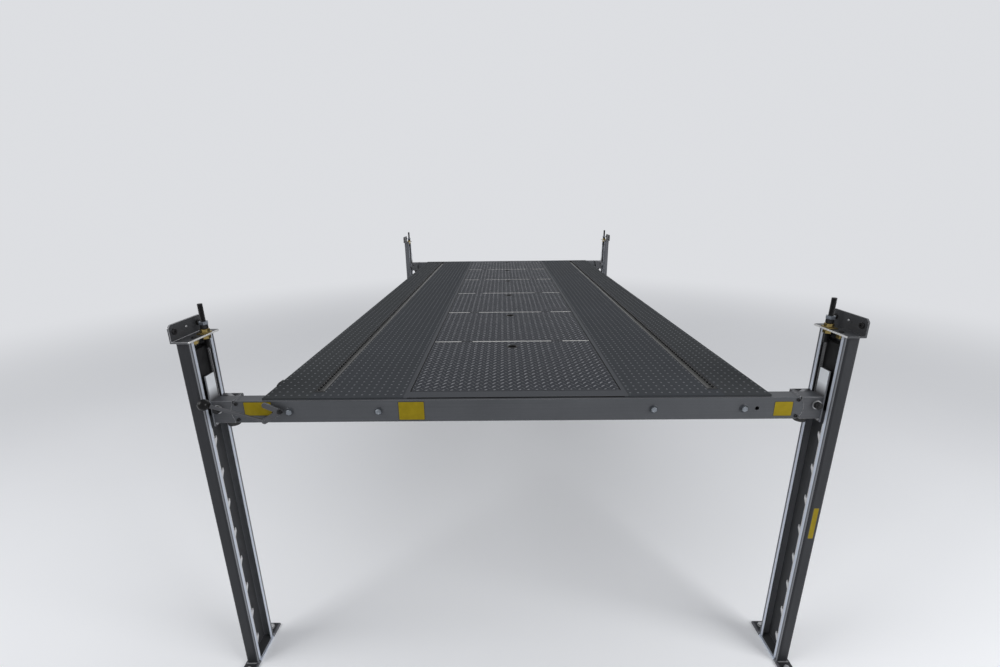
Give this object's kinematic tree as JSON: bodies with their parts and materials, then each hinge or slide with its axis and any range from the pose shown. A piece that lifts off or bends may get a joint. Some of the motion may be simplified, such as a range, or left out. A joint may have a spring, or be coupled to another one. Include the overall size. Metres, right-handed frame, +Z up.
{
  "type": "four-post car transporter platform lift",
  "caption": "Raised tread-plate platform between four bolted channel posts, lifted by cables, that carries a second car inside an enclosed transporter.",
  "frame": {"origin": "on the floor, under the middle of the deck", "axes": "+X to the right, +Y to the rear, the direction in which the picture looks, +Z up"},
  "size_m": [2.3114, 3.952, 1.562],
  "materials": {
    "tread_plate": "textured",
    "frame_aluminium": "satin",
    "post_aluminium": "satin",
    "bright_aluminium": "polished",
    "dark_steel": "satin",
    "bright_steel": "brushed",
    "yellow_zinc": "satin",
    "black_plastic": "matte",
    "black_rubber": "matte"
  },
  "bodies": {
    "posts": {"post_front_left": "post_aluminium", "post_front_right": "post_aluminium", "post_rear_left": "post_aluminium", "post_rear_right": "post_aluminium", "top_bracket_front_left": "dark_steel", "top_bracket_front_right": "dark_steel", "top_bracket_rear_left": "dark_steel", "top_bracket_rear_right": "dark_steel", "lock_rack_front_left": "bright_steel", "lock_rack_front_right": "bright_steel", "lock_rack_rear_left": "bright_steel", "lock_rack_rear_right": "bright_steel", "anchor_studs": "dark_steel", "anchor_nuts": "yellow_zinc", "lift_cables": "bright_steel"},
    "platform": {"beam_front": "frame_aluminium", "beam_rear": "frame_aluminium", "end_box_front_left": "dark_steel", "end_box_front_right": "dark_steel", "end_box_rear_left": "dark_steel", "end_box_rear_right": "dark_steel", "carriage_front_left": "bright_aluminium", "carriage_front_right": "bright_aluminium", "carriage_rear_left": "bright_aluminium", "carriage_rear_right": "bright_aluminium", "slide_blocks": "black_plastic", "sheaves": "bright_steel", "cable_wraps": "bright_steel", "lock_dogs": "dark_steel", "bumpers": "black_rubber", "runway_frame_left": "frame_aluminium", "runway_left": "tread_plate", "track_left": "bright_aluminium", "runway_frame_right": "frame_aluminium", "runway_right": "tread_plate", "track_right": "bright_aluminium", "centre_frame": "frame_aluminium", "bearers": "frame_aluminium", "hydraulic_cylinder": "dark_steel", "drive_cover": "frame_aluminium", "release_lever": "dark_steel", "lever_knob": "black_plastic", "port_bracket": "frame_aluminium", "port_fitting": "dark_steel"},
    "panel_1": {"panel_1": "tread_plate"},
    "panel_2": {"panel_2": "tread_plate"},
    "panel_3": {"panel_3": "tread_plate"},
    "panel_4": {"panel_4": "tread_plate"},
    "panel_5": {"panel_5": "tread_plate"},
    "panel_6": {"panel_6": "tread_plate"}
  },
  "joints": [
    {"name": "platform_lift", "type": "slide", "parent": "posts", "child": "platform", "axis": [0, 0, 1], "range_m": [-1.1, 0], "deforming": ["lift_cables"]},
    {"name": "panel_1_lift", "type": "slide", "parent": "platform", "child": "panel_1", "axis": [0, 0, 1], "range_m": [0, 0.1]},
    {"name": "panel_2_lift", "type": "slide", "parent": "platform", "child": "panel_2", "axis": [0, 0, 1], "range_m": [0, 0.1]},
    {"name": "panel_3_lift", "type": "slide", "parent": "platform", "child": "panel_3", "axis": [0, 0, 1], "range_m": [0, 0.1]},
    {"name": "panel_4_lift", "type": "slide", "parent": "platform", "child": "panel_4", "axis": [0, 0, 1], "range_m": [0, 0.1]},
    {"name": "panel_5_lift", "type": "slide", "parent": "platform", "child": "panel_5", "axis": [0, 0, 1], "range_m": [0, 0.1]},
    {"name": "panel_6_lift", "type": "slide", "parent": "platform", "child": "panel_6", "axis": [0, 0, 1], "range_m": [0, 0.1]}
  ]
}
